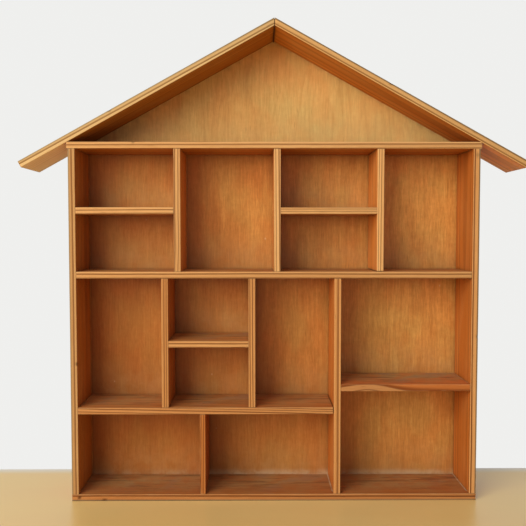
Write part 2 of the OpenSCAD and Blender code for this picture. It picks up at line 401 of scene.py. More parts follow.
def bare_pine(given, rings, fibres, edges):
    """The wood's colour, and how much of it is latewood."""
    clear = calc("MAXIMUM", edges["front"], given["bleach"], clamp=True)
    late = times(rings["latewood"], ease(fibres["streaks"], 0.2, 0.6, 0.75, 1.0),
                 ease(clear, 0.0, 1.0, 0.42, 1.0))
    outer = calc("SUBTRACT", rings["radius"], given["sap_radius"])
    sap = ease(outer, -0.4 * MM, 0.4 * MM)
    early = blend(times(sap, 0.45), given["earlywood"], SAPWOOD)
    dark = blend(times(sap, 0.15), given["latewood"], SAPWOOD)
    tone = times(ease(fibres["fine"], 0.25, 0.75, 0.88, 1.08),
                 ease(fibres["streaks"], 0.25, 0.75, 0.9, 1.07),
                 ease(rings["ring_tone"], 0.0, 1.0, 0.94, 1.05))
    colour = shaded(blend(late, early, dark), tone)
    colour = tint(1.0, colour, between(edges["front"], 1.0, given["front_shade"]))
    return blend(times(fibres["canals"], 0.5), colour, RESIN), late


print("bare pine ready")

# %% [markdown]
# ## Varnish and wear
# Old varnish has turned the faces orange, while hands have rubbed the front edges clear. Ends
# are darker, corners are worn paler, and dirt stays where boards meet. Faces that look down get
# a painted shade, apart from those of the eaves, and the left eave's underside gets painted
# light, drawn as bleached wood. Grime lies along one arris of some front edges, and on the bottom
# board that grime is a painted contact shadow. Each board's mesh carries two attributes for this:
# nook, which is 1 against another board and fades away from it, and nick, which is 1 in a dent.

# %% Varnish and wear
OLD_VARNISH = (0.84, 0.50, 0.23, 1)
UNDERSIDE_SHADE = (0.67, 0.61, 0.50, 1)
EAVE_LIGHT_COLOUR = (1.0, 0.70, 0.29, 1)
END_GRAIN = (0.2, 0.075, 0.022, 1)
WORN_EDGE = (0.85, 0.52, 0.24, 1)
GRIME_AND_SHADE = (0.26, 0.20, 0.11, 1)
CORNER_DIRT = (0.09, 0.03, 0.009, 1)
DENT = (0.05, 0.02, 0.008, 1)


def varnish(tree, given, edges, colour):
    """Bleach, varnish, worn corners and dirt, laid over the bare wood in that order."""
    own_x = axes(given["vector"])[0]
    pooled = streaky(given["vector"], (30, 30, 9))
    # Painted light: the eave's underside past the case is drawn as pale bleached wood for the light
    # on it.
    bleach = times(given["bleach"], ease(own_x, -4.6 * MM, -3.8 * MM, 1.0, 0.0),
                   ease(edges["front"], 0.0, 1.0, 1.0, 0.0))
    thick = times(given["amber"], ease(pooled, 0.25, 0.75, 0.8, 1.1),
                  ease(edges["front"], 0.0, 1.0, 1.0, 0.12),
                  ease(edges["edge"], 0.0, 1.0, 1.0, 0.5),
                  ease(bleach, 0.0, 1.0, 1.0, 0.15), clamp=True)
    # Grime along one arris of the front edge; on the bottom board it is a painted contact shadow.
    grime_and_shade = times(ease(times(own_x, given["grimy_side"]), 1.6 * MM, 4.2 * MM),
                  ease(edges["front"], 0.0, 1.0, 0.0, 0.65))
    dirt = times(attribute(tree, "nook"), ease(pooled, 0.3, 0.7, 0.2, 0.55))
    colour = blend(times(bleach, 0.7), colour, EAVE_LIGHT_COLOUR)
    colour = tint(thick, colour, OLD_VARNISH)
    for mask, over in ((times(edges["end"], 0.45), END_GRAIN),
                       (times(edges["edge"], 0.3), WORN_EDGE), (grime_and_shade, GRIME_AND_SHADE),
                       (dirt, CORNER_DIRT), (times(attribute(tree, "nick"), 0.85), DENT)):
        colour = blend(mask, colour, over)
    return colour


print("varnish and wear ready")

# %% [markdown]
# ## Dust
# Dust lies on whatever faces up, thicker towards the back where no cloth reaches, and grey in
# patches. Old spills have left dark streaks under it, and a pale line is swept into the corners.
# The geometry's normal tells which way is up, and it is the world's up because no piece is
# turned.

# %% Dust
DUST = (0.46, 0.30, 0.12, 1)
GREY_DUST = (0.33, 0.24, 0.15, 1)
STAIN = (0.13, 0.062, 0.028, 1)
CORNER_DUST = (0.74, 0.55, 0.34, 1)


def dusty(tree, given, edges, up, colour):
    """Dust and stains over the finish, and how thick the dust lies."""
    level = ease(up, 0.7, 0.95)
    cloud = speckle(given["vector"], 38.0, 4.0, 0.65)
    dust = times(level, ease(cloud, 0.3, 0.65, 0.5, 0.95),
                 ease(edges["depth"], 1 * MM, 50 * MM, 0.3, 0.75), given["dust"])
    grey_patch = ease(speckle(given["vector"], 22.0), 0.5, 0.7, 0.0, 0.55)
    colour = blend(dust, colour, blend(grey_patch, DUST, GREY_DUST))
    spilt = streaky(given["vector"], (60, 130, 16), roughness=0.65)
    stain = times(ease(spilt, 0.5, 0.66, 0.0, 0.5), level,
                  ease(edges["depth"], 4 * MM, 40 * MM, 0.2, 1.0))
    colour = blend(stain, colour, STAIN)
    own_z = axes(given["vector"])[2]
    swept = times(ease(attribute(tree, "nook"), 0.5, 0.72), level,
                  ease(own_z, -60 * MM, 0.0, 1.0, 0.0), given["corner_dust"],
                  ease(cloud, 0.35, 0.6, 0.25, 0.8))
    return blend(swept, colour, CORNER_DUST), dust


print("dust ready")

# %% [markdown]
# ## Varnished pine
# The group puts the layers together. Its inputs start at the values of a plain board, so that a
# board only has to say what is special about it. Even a trace of painted eave light takes the
# painted shade off an underside, which is how the right eave loses it without turning pale.

# %% Varnished pine
TRACE_OF_EAVE_LIGHT = 0.03


def build_varnished_pine():
    tree, given = new_group(
        "varnished pine", vector=ORIGIN, grain=ORIGIN, half_size=ORIGIN, **RING_INPUTS,
        earlywood=(0.8, 0.44, 0.17, 1), latewood=(0.35, 0.13, 0.03, 1), sap_radius=1.0, amber=1.0,
        grimy_side=0.0, bleach=0.0, dust=1.0, corner_dust=0.0, front_shade=1.0, underside=1.0)
    rings = place_group("growth rings", vector=given["grain"],
                        **{name: given[name] for name in RING_INPUTS})
    fibres = place_group("wood fibres", vector=given["vector"], seed=given["seed"])
    edges = place_group("board edges", vector=given["vector"], half_size=given["half_size"])
    colour, late = bare_pine(given, rings, fibres, edges)
    colour = varnish(tree, given, edges, colour)
    up = axes(tree.nodes.new("ShaderNodeNewGeometry").outputs["Normal"])[2]
    # Painted shade: faces that look down are darkened, apart from the eaves.
    under = times(ease(up, -0.8, -0.4, 1.0, 0.0),
                  ease(given["bleach"], 0.0, TRACE_OF_EAVE_LIGHT, 1.0, 0.0), given["underside"])
    colour, dust = dusty(tree, given, edges, up, tint(under, colour, UNDERSIDE_SHADE))

    rough = calc("ADD", ease(fibres["fine"], 0.2, 0.8, 0.38, 0.5), times(edges["edge"], 0.12))
    rough = calc("ADD", rough, dust, clamp=True)
    height = calc("ADD", times(late, 0.25), times(fibres["fine"], 0.35))
    height = calc("SUBTRACT", height, times(fibres["canals"], 0.4))
    give(tree, color=colour, roughness=rough, height=height)


build_varnished_pine()
print("group: varnished pine")

# %% [markdown]
# ## Veneer
# The back is plywood. Its face veneer is peeled off a turning log, so it cuts along the rings
# and shows broad wandering figure instead of straight lines. Contour lines of a slow, tall noise
# draw that figure, with finer streaks and flecks of its own over it.

# %% Veneer
def build_veneer():
    tree, given = new_group("peeled veneer", vector=ORIGIN, seed=0.0, figure=1.0)
    where = vector("ADD", given["vector"], given["seed"])
    years = times(streaky(where, (13, 13, 2.2), 2.0, 0.55), 22.0)
    season = calc("FRACT", years)
    line = times(ease(season, 0.35, 0.85), ease(season, 0.85, 1.0, 1.0, 0.0))
    chance = yearly_chance(years, given["seed"])
    figure = times(line, given["figure"], ease(chance, 0.0, 1.0, 0.3, 1.0))
    fine = streaky(where, (800, 800, 70), roughness=0.7)
    streaks = streaky(where, (300, 300, 13), 4.0, 0.7)
    flecks = streaky(where, (110, 110, 170), roughness=0.7)
    broad = streaky(where, (40, 40, 14))
    tone = times(ease(fine, 0.25, 0.75, 0.82, 1.14),
                 ease(streaks, 0.25, 0.75, 0.83, 1.12),
                 ease(flecks, 0.25, 0.75, 0.93, 1.06), ease(broad, 0.3, 0.7, 0.88, 1.09))
    height = calc("ADD", times(fine, 0.5), times(streaks, 0.3))
    give(tree, tone=tone, figure=figure, height=height)


build_veneer()
print("group: peeled veneer")

# %% [markdown]
# ## A place for every board
# A board is known by its middle, its half sizes and its turn about the y axis. Uprights aren't
# turned, level boards are turned a quarter, and the roof boards lie at the pitch. With these
# three a mesh can be built in the board's own space and a material can look up the same space.

# %% The boards' own spaces
class Board:
    """A board's middle, half sizes (thickness, width, length) and turn about the y axis."""

    def __init__(self, name, centre, half, turn):
        self.name = name
        self.centre = centre
        self.half = half
        self.turn = turn
        self.to_own = Matrix.Rotation(turn, 3, "Y")

    def own(self, point):
        """A point of the bookcase in this board's space."""
        return self.to_own @ (point - self.centre)

    def gap(self, point):
        """How far a point is from this board."""
        beyond = [max(abs(c) - h, 0) for c, h in zip(self.own(point), self.half)]
        return Vector(beyond).length

    def outside(self, point):
        """A point of this board's space, in the bookcase's space."""
        return self.to_own.transposed() @ point + self.centre

    def ends(self):
        """The eight corners, in the bookcase's space."""
        signs = [(x, y, z) for x in (-1, 1) for y in (-1, 1) for z in (-1, 1)]
        return [self.outside(Vector(s * h for s, h in zip(sign, self.half))) for sign in signs]


def straight_board(name):
    low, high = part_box(name)
    size = high - low
    upright = size.z > size.x
    half = Vector((size.x, size.y, size.z) if upright else (size.z, size.y, size.x)) / 2
    return Board(name, (low + high) / 2, half, 0.0 if upright else QUARTER)


def roof_board(name, side):
    """A roof board on the left (-1) or the right (1): its full length is that of its top face."""
    low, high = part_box(name)
    long = (high.x - low.x) / math.cos(ROOF_PITCH)
    down_slope = Vector((side * math.cos(ROOF_PITCH), 0, -math.sin(ROOF_PITCH)))
    into_board = Vector((-side * math.sin(ROOF_PITCH), 0, -math.cos(ROOF_PITCH)))
    ridge = Vector((low.x if side > 0 else high.x, (low.y + high.y) / 2, high.z))
    centre = ridge + down_slope * long / 2 + into_board * BOARD_THICK / 2
    half = Vector((BOARD_THICK, BOARD_WIDE, long)) / 2
    return Board(name, centre, half, QUARTER - side * ROOF_PITCH)


print("a packed board's place can be read")

# %% Which boards touch
NOT_STRAIGHT = ("_roof_board", "_panel", "_nails", "_pins")
boards = {name: straight_board(name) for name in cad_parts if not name.endswith(NOT_STRAIGHT)}
boards["left_roof_board"] = roof_board("left_roof_board", -1)
boards["right_roof_board"] = roof_board("right_roof_board", 1)


def meets(one, other, reach=2 * MM):
    """True where the boxes around two boards touch."""
    low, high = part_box(one.name)
    other_low, other_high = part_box(other.name)
    return all(low[i] - reach < other_high[i] and other_low[i] - reach < high[i] for i in range(3))


touching = {one.name: [other for other in boards.values() if other is not one and meets(one, other)]
            for one in boards.values()}
print(len(boards), "boards;", sum(map(len, touching.values())) // 2, "pairs that may touch")

# %% [markdown]
# ## The finish of one board
# Each board was sawn from another place in a log, so each gets a material of its own, built by
# one function: a Mapping node moves the bookcase's space into the board's, and the group does
# the rest. The heart of the log is given in that space, in millimetres, and the ring width says
# how fast the tree grew. The phase is worked out so that a dark line falls where the photograph
# shows one on the board's front edge. The shader itself stays here, with a thin clear coat for
# the varnish.

# %% Materials
def new_material(name):
    """An empty material, its node tree and its shader's inputs."""
    material = bpy.data.materials.new(name)
    material.use_nodes = True
    tree = material.node_tree
    return material, tree, tree.nodes["Principled BSDF"].inputs


def object_place(tree):
    """The place on the piece, which is the place in the bookcase, because no piece is moved."""
    return tree.nodes.new("ShaderNodeTexCoord").outputs["Object"]


def relief(height, strength=0.35, depth=0.25 * MM):
    """Small heights as a normal."""
    return add("ShaderNodeBump",
               {"Height": height, "Strength": strength, "Distance": depth}).outputs[0]


print("materials can be made")

# %% The finish of one board
PINE = {
    "case_pine": ((0.85, 0.475, 0.186), (0.22, 0.067, 0.0125)),
    "red_pine": ((0.765, 0.338, 0.111), (0.21, 0.059, 0.0115)),
    "roof_pine": ((0.83, 0.485, 0.193), (0.27, 0.103, 0.023)),
}


def tinted(colour, light, warm):
    """A colour made lighter or darker, and warmer (over 1) or cooler."""
    red, green, blue = colour
    return (red * light, green * light / warm, blue * light / warm ** 2, 1)


def beyond_case(place, amount):
    """The given amount where the wood is past the case's sides, and 0 inside them."""
    sideways = calc("ABSOLUTE", axes(place)[0])
    return ease(sideways, CASE_HALF, CASE_HALF + BOARD_THICK, 0.0, amount)


def pine_material(board, slot, heart, ring=3.4, line=-1.4, lean=(1, 0), wave=0.9, light=1, warm=1,
                  sap=0, gloss=1, bleach=0, front=0.93, swell=None, **marks):
    """Varnished pine for one board. Lengths are in millimetres, and the lean in mm per metre."""
    material, tree, shader = new_material(board.name + "_pine")
    place = object_place(tree)
    own = add("ShaderNodeMapping",
              {"Vector": place, "Location": -(board.to_own @ board.centre),
               "Rotation": (0, board.turn, 0)}).outputs[0]
    grain = own
    if swell:
        grain = place_group("grain swell", vector=own, place=Vector(swell[:3]) * MM,
                            size=swell[3] * MM, push=swell[4] * MM)["vector"]
    heart_x, heart_y = heart
    to_line = math.hypot(line - heart_x, -board.half.y / MM - heart_y)
    early, late = PINE[slot]
    finish = place_group(
        "varnished pine", vector=own, grain=grain, half_size=board.half,
        heart=(heart_x * MM, heart_y * MM, 0), lean=(lean[0] * MM, lean[1] * MM, 0),
        ring_width=ring * MM, phase=LATE_PEAK - to_line / ring, waviness=wave * MM,
        seed=random.Random(board.name).uniform(0, 50),
        sap_radius=(to_line + sap) * MM if sap else 1.0, bleach=beyond_case(place, bleach),
        front_shade=front, earlywood=tinted(early, light, warm), latewood=tinted(late, light, warm),
        **marks)
    fill_in(shader, {
        "Specular IOR Level": 0.2 * gloss, "Coat Weight": 0.04 * gloss, "Coat Roughness": 0.25,
        "Base Color": finish["color"], "Roughness": finish["roughness"],
        "Normal": relief(finish["height"])})
    return material


print("recipe ready for", len(PINE), "kinds of pine")

# %% [markdown]
# ## Making a board
# On the real bookcase every board is sawn, planed and rubbed down with sandpaper, which rounds
# the long edges a little and leaves the ends sharp. A cube is scaled to the board, its long
# edges get a wide bevel and its ends a fine one. Loops of edges are then cut in with
# bisect_plane, close together where another board meets this one, because the dirt in those
# corners is kept in the mesh, and around each nick. Last, the surface is moved inwards by a
# tenth of a millimetre here and there, so that highlights don't run dead straight.

# %% Blocks and cuts
def block(low, high):
    """A bmesh of the box between two corners."""
    bm = bmesh.new()
    bmesh.ops.create_cube(bm, size=1)
    bmesh.ops.scale(bm, vec=high - low, verts=bm.verts)
    bmesh.ops.translate(bm, vec=(low + high) / 2, verts=bm.verts)
    return bm


def saw(bm, point, outward, off=False):
    """Cuts along a plane. With off, what lies outside falls off and the cut is closed."""
    geometry = bm.verts[:] + bm.edges[:] + bm.faces[:]
    cut = bmesh.ops.bisect_plane(bm, geom=geometry, dist=TINY, plane_co=point, plane_no=outward,
                                 clear_outer=off)
    if off:
        open_edges = [e for e in cut["geom_cut"] if isinstance(e, bmesh.types.BMEdge)]
        bmesh.ops.edgeloop_fill(bm, edges=open_edges)


def cut_loops(bm, axis, places):
    """Cuts the mesh across one axis at each place, without parting it."""
    across = Matrix.Identity(3)[axis]
    for place in places:
        saw(bm, across * place, across)


print("blocks can be cut")

# %% Loops where detail is needed
LOOP_STEP = 14 * MM
NOOK_LOOPS = [0.3 * MM, 1.2 * MM, 3.0 * MM, 6.5 * MM]
LEAST_LOOP_GAP = 0.25 * MM
END_MARGIN = 1.2 * MM
REGULAR_MARGIN = 2 * MM


def loop_places(half, wanted):
    """Wanted places with regular ones between, all inside the board and none too close."""
    regular = [-half + LOOP_STEP * i for i in range(1, int(2 * half / LOOP_STEP) + 1)]
    kept = []
    for place in sorted(p for p in wanted if abs(p) < half - END_MARGIN):
        if not kept or place - kept[-1] > LEAST_LOOP_GAP:
            kept.append(place)
    kept += [p for p in regular if abs(p) < half - REGULAR_MARGIN
             and all(abs(p - other) > LOOP_STEP / 3 for other in kept)]
    return sorted(kept)


def meeting_places(board):
    """Places along the board beside each board that meets it."""
    wanted = []
    for other in touching[board.name]:
        along = [board.own(corner).z for corner in other.ends()]
        for step in NOOK_LOOPS:
            wanted += [min(along) - step, max(along) + step]
    return wanted


print("loops lie", round(LOOP_STEP / MM, 1), "mm apart, or closer in the corners")

# %% Dirt in the corners, nicks and an uneven surface
NOOK_REACH = 7 * MM
FRONT_CLEAR = 9 * MM
NICK_HALF_WIDTH = 2.2 * MM
UNEVEN = 0.12 * MM
WAVES_PER_METRE = 45


def nook_at(point, name):
    """1 against another board or the back, fading away from it, and gone at the front edge."""
    near = [1 - (BACK_Y - point.y) / NOOK_REACH]
    near += [1 - other.gap(point) / NOOK_REACH for other in touching[name]]
    from_front = min((point.y - FRONT_Y) / FRONT_CLEAR, 1)
    return max(0, max(near)) ** 2 * max(0, from_front)


def nick_at(point, nick):
    """How deep one nick is at a point of the board's own space, from 0 to 1."""
    across, wide, along, long = nick[:4]
    reach = Vector(((point.x - across * MM) / NICK_HALF_WIDTH,
                    (point.y - wide * MM) / NICK_HALF_WIDTH,
                    (point.z - along * MM) / (long * MM / 2)))
    return max(0, 1 - reach.length)


def uneven(point, seed):
    """How far the surface lies inside its true place."""
    wave = noise.noise(point * WAVES_PER_METRE + Vector((seed, seed, seed)))
    return UNEVEN * (0.5 + 0.5 * wave)


print("nooks reach", round(NOOK_REACH / MM, 1), "mm")

# %% A plank
LONG_EDGE_RADIUS = 0.7 * MM
END_EDGE_RADIUS = 0.25 * MM
EDGE_LOOP = 1.6 * MM
CORNER_ANGLE = math.radians(50)


def along_grain(edge):
    way = edge.verts[1].co - edge.verts[0].co
    return abs(way.z) > 0.8 * way.length


def bevel(bm, edges, radius, segments):
    bmesh.ops.bevel(bm, geom=edges, offset=radius, offset_type="OFFSET", segments=segments,
                    profile=0.5, affect="EDGES", material=-1, clamp_overlap=True)


def plank(board, nicks, ridge_end, planed):
    """A board as a bmesh in its own space: ridge_end is the end with a plumb cut, -1 or 1."""
    half = board.half
    bm = block(-half, half)
    for vert in bm.verts:
        if vert.co.z * ridge_end > 0:
            vert.co.z -= ridge_end * (half.x - vert.co.x) * math.tan(ROOF_PITCH)
    for end in (-1, 1) if planed else ():
        slope = Vector((math.cos(ROOF_PITCH), 0, end * math.sin(ROOF_PITCH)))
        saw(bm, Vector((half.x, 0, end * CASE_HALF)), slope, off=True)
    bevel(bm, [e for e in bm.edges if along_grain(e)], LONG_EDGE_RADIUS, 3)
    bevel(bm, [e for e in bm.edges if e.is_manifold and not along_grain(e)
               and e.calc_face_angle() > CORNER_ANGLE], END_EDGE_RADIUS, 2)
    wanted = meeting_places(board)
    for nick in nicks:
        wanted += [(nick[2] + nick[3] * step) * MM for step in (-0.5, -0.25, 0, 0.25, 0.5)]
    cut_loops(bm, 2, loop_places(half.z, wanted))
    back_loops = [half.y - step for step in NOOK_LOOPS]
    cut_loops(bm, 1, loop_places(half.y, back_loops + [-half.y + EDGE_LOOP]))
    cut_loops(bm, 0, [-half.x + EDGE_LOOP, 0, half.x - EDGE_LOOP])
    return bm


print("planks can be sawn")

# %% The plank's surface and its place
NICK_SPREAD = 1.6


def settle(bm, board, nicks):
    """Works the surface, records nooks and nicks, and moves the board to its place."""
    nook_layer = bm.verts.layers.float.new("nook")
    nick_layer = bm.verts.layers.float.new("nick")
    seed = random.Random(board.name).uniform(0, 99)
    bm.normal_update()
    worked = []
    for vert in bm.verts:
        inward = uneven(vert.co, seed)
        for nick in nicks:
            deep = nick_at(vert.co, nick)
            vert[nick_layer] = max(vert[nick_layer], min(1, deep * NICK_SPREAD))
            inward += deep * nick[4] * MM
        worked.append(vert.co - vert.normal * inward)
    for vert, place in zip(bm.verts, worked):
        vert.co = board.outside(place)
        vert[nook_layer] = nook_at(vert.co, board.name)
    for face in bm.faces:
        face.smooth = True


def from_bmesh(bm, name, material=None):
    """Turns a bmesh into an object."""
    mesh = bpy.data.meshes.new(name)
    bm.to_mesh(mesh)
    bm.free()
    if material:
        mesh.materials.append(material)
    return put_in_scene(name, mesh)


def finish_piece(bm, name, material, nodes=()):
    """Turns a bmesh into a piece that rides on the bookcase and stands for its nodes."""
    piece = from_bmesh(bm, name, material)
    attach(piece, "root")
    if nodes:
        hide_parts(*nodes)
    return piece


print("planks can be finished")

# %% [markdown]
# ## Nail holes
# The boards are held by nails whose heads were punched a little below the surface. The packed
# model has every nail, so the lesson asks it where they are: the points of one nail hang
# together, its head is the end with the widest ring, and the line from its middle to that end
# is the way out of the wood. A short cylinder over each head is taken away from the board with
# a Boolean, which is applied at once, and the steel head shows at the bottom of a clean hole.

# %% The nails' heads
def nails_of(name):
    """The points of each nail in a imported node, one list for each nail."""
    holder = bpy.data.objects[name]
    bm = bmesh.new()
    bm.from_mesh(holder.data)
    bm.transform(holder.matrix_world)
    bmesh.ops.remove_doubles(bm, verts=bm.verts, dist=TINY)
    waiting = set(bm.verts)
    nails = []
    while waiting:
        reached = [waiting.pop()]
        for vert in reached:
            for other in [edge.other_vert(vert) for edge in vert.link_edges]:
                if other in waiting:
                    waiting.discard(other)
                    reached.append(other)
        nails.append([vert.co.copy() for vert in reached])
    bm.free()
    return nails


def mean(points):
    return sum(points, Vector()) / len(points)


def head_of(points):
    """The middle of a nail's head, the way out of the wood, and the head's radius."""
    middle = mean(points)
    farthest = max(points, key=lambda point: (point - middle).length)
    towards = (farthest - middle).normalized()
    end = mean([point for point in points if (farthest - point).dot(towards) < MM / 2])
    way = (end - middle).normalized()
    widest = max(points, key=lambda point: way.cross(point - middle).length)
    if (widest - middle).dot(way) < 0:
        way = -way
    reach = max((point - middle).dot(way) for point in points)
    return middle + way * reach, way, way.cross(widest - middle).length


heads = [head_of(points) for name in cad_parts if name.endswith("_nails")
         for points in nails_of(name)]
print(len(heads), "nail heads, each", round(2 * heads[0][2] / MM, 2), "mm across")

# %% Holes over them
HOLE_HEIGHT = 3 * MM
HOLE_SPARE = 0.05 * MM
HOLE_SIDES = 20
SHARP_ANGLE = math.radians(60)


def sink_nails(piece, board):
    """Cuts the hole over each nail that was driven into this board and set below its face."""
    inside = [head for head in heads if board.gap(head[0]) == 0]
    if not inside:
        return 0
    bm = bmesh.new()
    for place, way, radius in inside:
        turn = way.to_track_quat("Z", "Y").to_matrix().to_4x4()
        bmesh.ops.create_cone(bm, cap_ends=True, segments=HOLE_SIDES, radius1=radius + HOLE_SPARE,
                              radius2=radius + HOLE_SPARE, depth=HOLE_HEIGHT,
                              matrix=Matrix.Translation(place + way * HOLE_HEIGHT / 2) @ turn)
    punch = from_bmesh(bm, "punch")
    cut = piece.modifiers.new("nail holes", "BOOLEAN")
    cut.object = punch
    cut.solver = "EXACT"
    whole = piece.data
    evaluated = piece.evaluated_get(bpy.context.evaluated_depsgraph_get())
    piece.data = bpy.data.meshes.new_from_object(evaluated)
    piece.modifiers.clear()
    piece.data.set_sharp_from_angle(angle=SHARP_ANGLE)
    bpy.data.objects.remove(punch)
    bpy.data.meshes.remove(whole)
    return len(inside)


print("nails can be sunk")

# %% [markdown]
# ## A whole board
# The steps so far become one call: cut the blank, work its surface, give it its wood and sink
# its nails.

# %% A whole board
def make_board(name, slot="case_pine", nicks=(), ridge_end=0, planed=False, **wood):
    """One finished board."""
    board = boards[name]
    bm = plank(board, nicks, ridge_end, planed)
    settle(bm, board, nicks)
    piece = finish_piece(bm, "oiled_" + name, pine_material(board, slot, **wood), [name])
    holes = sink_nails(piece, board)
    print(piece.name, "has", len(piece.data.polygons), "faces and", holes, "nail holes")


print("ready to make boards")

# %% [markdown]
# ## The case's boards
# All of these are the same pine, cut from different places in the log. A nick is given by its
# place across, its place from front to back and its place along the board, then its length and
# its depth, in millimetres from the board's middle. A level board's own z runs to the left. A
# swell has the same three places, then its size and how far it pushes the grain.

# %% Sides and full width boards
# The light, warm and front amounts are partly each board's own tone and partly painted light and
# shade: boards with inner faces in shade are darker, and the upper dividers lighten to the right.
make_board("left_side", heart=(-52, 14), line=1.1, ring=3.8, lean=(2, 4), light=0.74, front=1.0,
           grimy_side=-1, nicks=[(5, -41, -60, 8, 0.4)])
make_board("right_side", heart=(44, -4), line=3.4, ring=6.2, lean=(-5, 6), warm=1.1, light=0.86,
           front=1.1, grimy_side=1, nicks=[(1.5, -41, 246, 13, 0.9), (5, -41, -20, 8, 0.3)])
make_board("top_board", planed=True, heart=(-60, 8), line=1.5, ring=3.2, lean=(1, 5),
           nicks=[(5, -41, 205, 7, 0.3)])
make_board("middle_shelf", heart=(58, 12), line=1.4, ring=5.4, lean=(1.5, 0), light=0.93, warm=1.04)
make_board("lower_shelf", "red_pine", heart=(47, -12), line=-0.5, ring=3.5, lean=(22, 2),
           light=0.89, warm=0.95)
# The bottom board's grime along its lower front arris is a painted contact shadow on the floor.
make_board("bottom_board", "red_pine", heart=(50, 22), line=1.8, ring=3.6, lean=(2, 1), light=0.77,
           warm=1.06, corner_dust=1, grimy_side=-1,
           nicks=[(0, -41, 289, 7, 0.9), (-3.2, -41, 252, 10, 0.9)])

# %% Dividers and short shelves
make_board("long_divider", heart=(-70, -6), line=1.2, ring=4.8, lean=(-1, 2), warm=1.12)
make_board("upper_divider_left", heart=(30, 10), line=1.5, ring=3.0, lean=(12, 3), wave=2.2,
           light=0.97)
make_board("upper_divider_middle", heart=(-50, 5), line=-1.2, ring=3.2, lean=(-9, 2), light=1.08,
           warm=0.96)
make_board("upper_divider_right", heart=(62, -10), line=0.6, ring=3.4, lean=(4, 2), light=1.18,
           warm=0.96)
make_board("upper_shelf_left", heart=(-48, 9), line=1.0, ring=4.0, lean=(3, 1))
make_board("upper_shelf_right", heart=(57, -5), line=-1.4, ring=3.3, lean=(2, 1))
make_board("middle_divider_left", heart=(-55, 7), line=-1.0, ring=3.3, lean=(4, 2), light=0.78,
           warm=1.2)
make_board("middle_divider_right", heart=(60, 12), line=0.8, ring=3.5, lean=(-6, 2), light=0.86,
           warm=1.14)
make_board("middle_short_shelf", heart=(-46, -9), line=1.3, ring=3.3, lean=(4, 1), light=0.92,
           warm=1.08)
make_board("right_shelf", "red_pine", heart=(40, -20), line=-3.0, ring=12, lean=(30, 4), wave=2.2,
           sap=0.8, light=1.19, warm=1.36, front=0.69, dust=1.3, corner_dust=0.7,
           swell=(-8, -41, 56, 9, 17))
make_board("lower_divider", heart=(52, 6), line=0.6, ring=3.2, lean=(5, 2), light=0.7, warm=1.56)

# %% [markdown]
# ## The roof
# Two boards lean on each other at the ridge, where both are cut plumb, and run past the case to
# square-cut eaves. Each is made lying in its own space, as the others are, with the ridge end
# sheared to the plumb cut. Weather and light have taken most of the gloss off them.

# %% The roof boards
make_board("left_roof_board", "roof_pine", ridge_end=-1, heart=(54, 16), line=-1.0, ring=4.2,
           lean=(3, 4), warm=0.87, front=0.92, gloss=0.1, grimy_side=1, bleach=1, dust=0.4,
           nicks=[(5, -41, 60, 9, 0.4)])
# The right roof board's high light is painted light on its underside; its front edge is toned back.
make_board("right_roof_board", "roof_pine", ridge_end=1, heart=(57, -8), line=3.4, ring=7,
           lean=(-3, 5), light=1.31, warm=0.98, amber=0.9, front=0.73, gloss=0.1, grimy_side=1,
           bleach=TRACE_OF_EAVE_LIGHT, dust=0.4, nicks=[(5, -41, 20, 9, 0.4)])

# %% [markdown]
# ## The dark line of the ridge
# The two plumb cuts stand a millimetre apart, and the photograph shows that gap as a dark line.
# A thin near-black strip fills it here, set back a little from every face. It is partly old glue
# and dirt, and partly painted shade for the gap.

# %% The dark line of the ridge
STRIP_INSET = 1.5 * MM
GLUE_AND_SHADE = (0.055, 0.016, 0.006, 1)


def make_ridge_line():
    """Old glue and dirt with painted shade: a dark strip that fills the gap between the plumb cuts.
    """
    left_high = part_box("left_roof_board")[1]
    right_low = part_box("right_roof_board")[0]
    top = left_high.z - STRIP_INSET
    low = Vector((left_high.x, FRONT_Y + STRIP_INSET, top - BOARD_THICK / math.cos(ROOF_PITCH)))
    high = Vector((right_low.x, BACK_Y - STRIP_INSET, top))
    material, _, shader = new_material("old_glue")
    fill_in(shader, {"Base Color": GLUE_AND_SHADE, "Roughness": 0.7})
    return finish_piece(block(low, high), "ridge_glue", material)


print(make_ridge_line().name, "fills the ridge")

# %% [markdown]
# ## The plywood back
# One sheet closes the case and the gable. It is cut to the outline of the house, a millimetre
# inside the boards' faces. A cube is trimmed by the two slopes, then given the same kind of
# loops as the boards, so that it can hold four attributes along every shelf. Nook is the dirt
# against a board. Shade patina is painted shade with some darker varnish in it, around each
# board and most of all to the right of an upright and under a shelf, where the lamp's shadow
# falls. The dust and light band is dust and painted light, which make the sheet paler over the
# 60 mm above each shelf. Painted shade is a redder, darker tint to the right of an upright,
# under a shelf and in the peak of the gable, where the lamp's shadow falls.

# %% The sheet's colours
PLY_PAINTED_DIM = (0.485, 0.166, 0.0335, 1)
PLY_PAINTED_BRIGHT = (0.87, 0.44, 0.11, 1)
PLY_DARK = (0.42, 0.145, 0.03, 1)
PLY_ROSY = (1.015, 0.955, 0.93, 1)
PLY_YELLOW = (0.965, 1.055, 1.09, 1)
PLY_PAINTED_SHADE = (0.97, 0.85, 0.83, 1)
PLY_GABLE_LIT = (0.80, 0.56, 0.197, 1)
PLY_RESIN = (0.2, 0.07, 0.02, 1)
PLY_CHIP = (0.85, 0.62, 0.36, 1)
GABLE_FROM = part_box("top_board")[0].z
panel_low, panel_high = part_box("back_panel")


